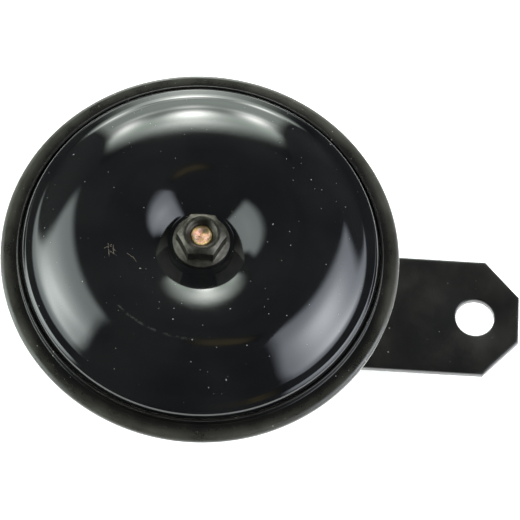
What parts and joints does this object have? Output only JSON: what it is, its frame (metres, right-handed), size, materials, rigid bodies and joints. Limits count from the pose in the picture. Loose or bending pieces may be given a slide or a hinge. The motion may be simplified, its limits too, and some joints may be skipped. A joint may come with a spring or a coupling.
{
  "type": "car horn",
  "caption": "Vibrating disc electric horn: domed tone disc with a centre nut, folded rim, drawn case with magnet and contacts, and a flat mounting strap.",
  "frame": {"origin": "centre of the strap's mounting hole on the strap's rear face", "axes": "+Z along the mounting hole and the horn's own axis, the way the sound leaves; +X along the strap from the horn to its free end"},
  "size_m": [0.1224, 0.092, 0.0519],
  "materials": {
    "gloss_black_paint": "gloss",
    "satin_black_paint": "satin",
    "bracket_black_paint": "satin",
    "dark_zinc_steel": "satin",
    "yellow_zinc_steel": "satin",
    "plain_steel": "satin",
    "spring_steel": "satin",
    "zinc_steel": "satin",
    "soft_iron": "satin",
    "gasket_paper": "matte",
    "bobbin_plastic": "matte",
    "copper_wire": "gloss",
    "contact_metal": "satin",
    "fibre_board": "matte",
    "rivet_brass": "satin",
    "blade_brass": "satin"
  },
  "bodies": {
    "horn_body": {"adjusting_bush": "zinc_steel", "adjusting_locknut": "zinc_steel", "adjusting_screw": "zinc_steel", "bracket_nut": "zinc_steel", "case": "satin_black_paint", "clamp_ring": "satin_black_paint", "coil_bobbin": "bobbin_plastic", "coil_contact_lead": "copper_wire", "coil_supply_lead": "copper_wire", "coil_terminal": "blade_brass", "coil_winding": "copper_wire", "contact_bracket": "zinc_steel", "contact_leaf": "spring_steel", "contact_rivets": "rivet_brass", "contact_supply_lead": "copper_wire", "contact_terminal": "blade_brass", "diaphragm": "spring_steel", "fixed_contact": "contact_metal", "fixed_contact_arm": "zinc_steel", "front_gasket": "gasket_paper", "inner_terminal_plate": "fibre_board", "lock_washer": "zinc_steel", "lower_insulator": "fibre_board", "middle_insulator": "fibre_board", "mounting_bracket": "bracket_black_paint", "moving_contact": "contact_metal", "outer_terminal_plate": "fibre_board", "pole_core": "soft_iron", "rear_gasket": "gasket_paper", "terminal_rivets": "rivet_brass", "upper_insulator": "fibre_board"},
    "sounding_head": {"armature": "yellow_zinc_steel", "diaphragm_washer": "plain_steel", "flange_nut": "dark_zinc_steel", "tone_disc": "gloss_black_paint", "tone_disc_spacer": "plain_steel"}
  },
  "joints": [
    {"name": "sounding_stroke", "type": "slide", "parent": "horn_body", "child": "sounding_head", "axis": [0, 0, 1], "range_m": [-0.0004, 0.0003], "stiffness_N_per_m": 20000, "deforming": ["diaphragm", "contact_leaf"]}
  ]
}
